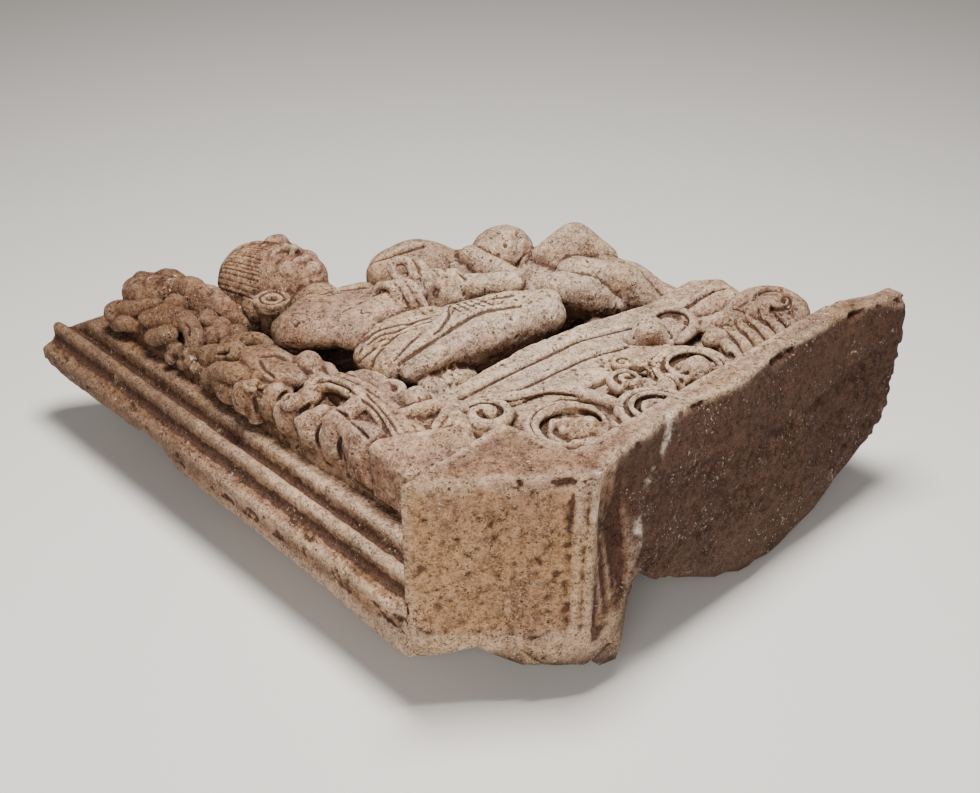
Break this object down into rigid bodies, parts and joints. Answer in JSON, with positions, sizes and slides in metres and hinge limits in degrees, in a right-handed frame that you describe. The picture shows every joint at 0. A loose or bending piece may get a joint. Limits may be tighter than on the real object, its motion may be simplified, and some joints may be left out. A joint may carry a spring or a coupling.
{
  "type": "stone relief panel",
  "caption": "Thick sandstone relief block carved with a seated couple on a banded seat among scrolling leaves, beside a moulded frame and above a plain foot ledge.",
  "frame": {"origin": "on the flat of the back, under the middle of the block's outline", "axes": "+X along the foot ledge away from the corner block, +Y up the carved face from the ledge to the broken far end, +Z out of the carved face"},
  "size_m": [0.6, 0.7529, 0.2547],
  "materials": {
    "sandstone": "weathered reddish brown sandstone, carved and worn smooth on the high forms, with pale lime crust and small pits"
  },
  "bodies": {
    "root": {"stone_relief_panel": "sandstone"}
  },
  "joints": []
}
